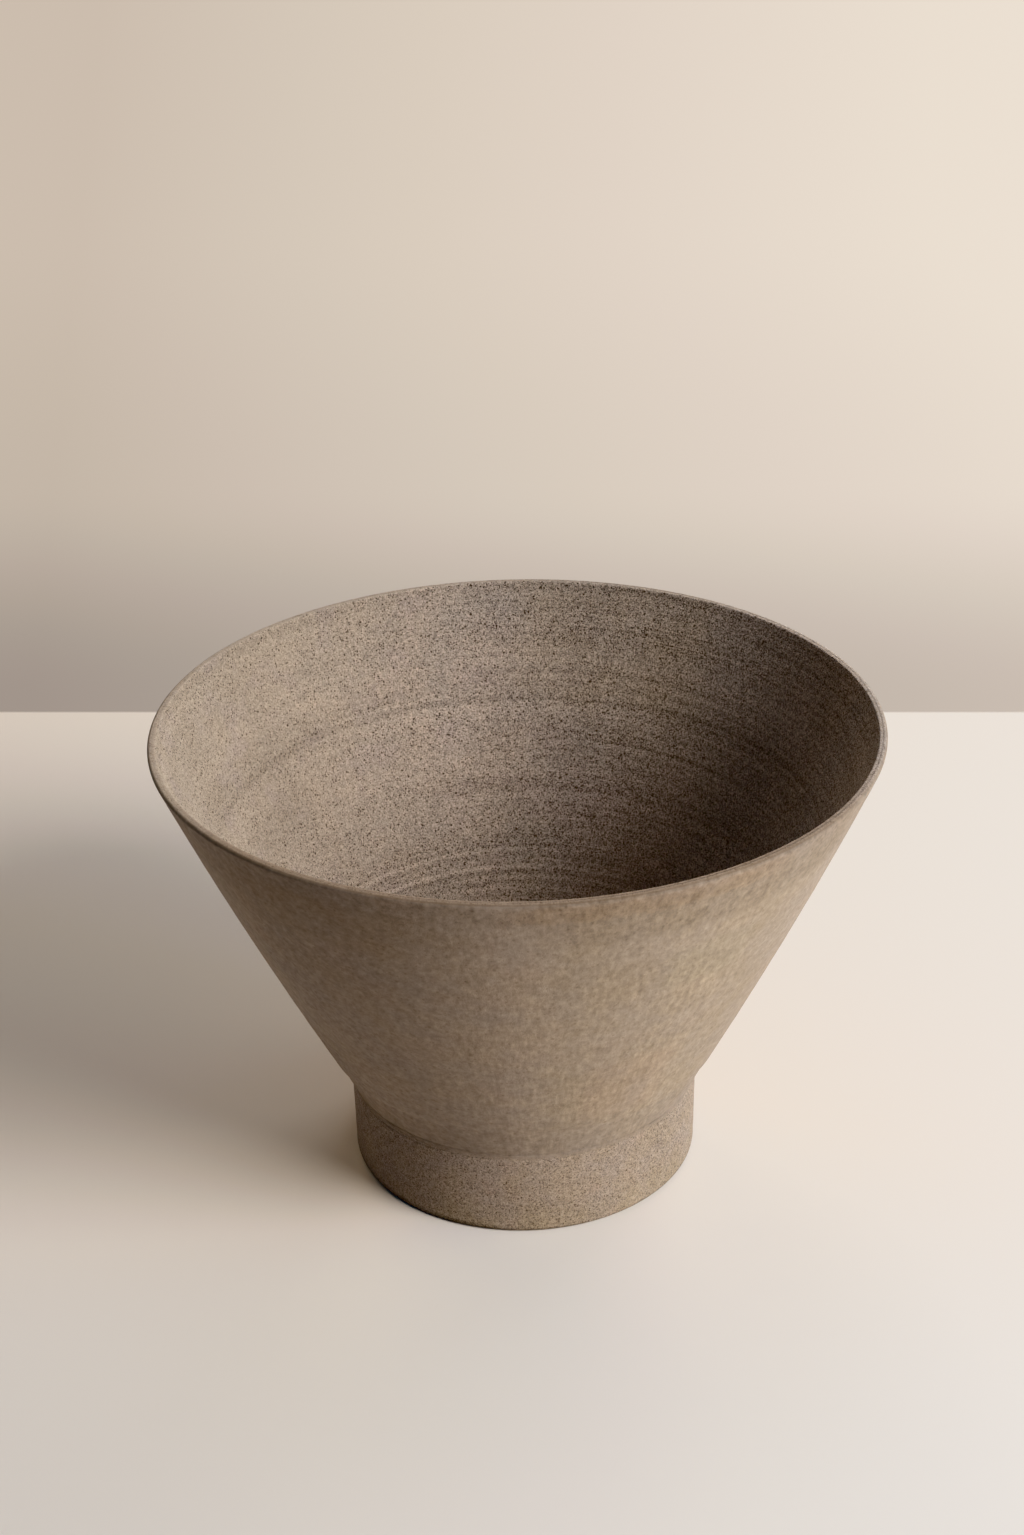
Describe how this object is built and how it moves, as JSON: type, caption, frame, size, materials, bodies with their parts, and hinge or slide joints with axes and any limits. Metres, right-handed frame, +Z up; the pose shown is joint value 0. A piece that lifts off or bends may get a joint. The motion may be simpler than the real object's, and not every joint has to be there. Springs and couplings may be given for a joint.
{
  "type": "tapered bowl",
  "caption": "Tapered stoneware bowl, a thin-walled cone with a flat-topped lip on a straight hollow foot ring, unglazed and speckled.",
  "frame": {"origin": "centre of the foot ring's base, on the surface that the bowl stands on", "axes": "+Z up along the bowl's axis of revolution, out of its mouth; +X and +Y level, with the picture taken looking along +Y"},
  "size_m": [0.25, 0.25, 0.168],
  "materials": {
    "stoneware_bowl": "unglazed matte stoneware, warm taupe, with fine dark iron speckle and faint throwing rings",
    "fired_slip": "unglazed matte slip of the same clay, sponged smooth",
    "stoneware_foot": "unglazed matte stoneware, trimmed, with a denser speckle than the bowl's"
  },
  "bodies": {
    "root": {"bowl": "stoneware_bowl", "luting_slip": "fired_slip", "foot_ring": "stoneware_foot"}
  },
  "joints": []
}
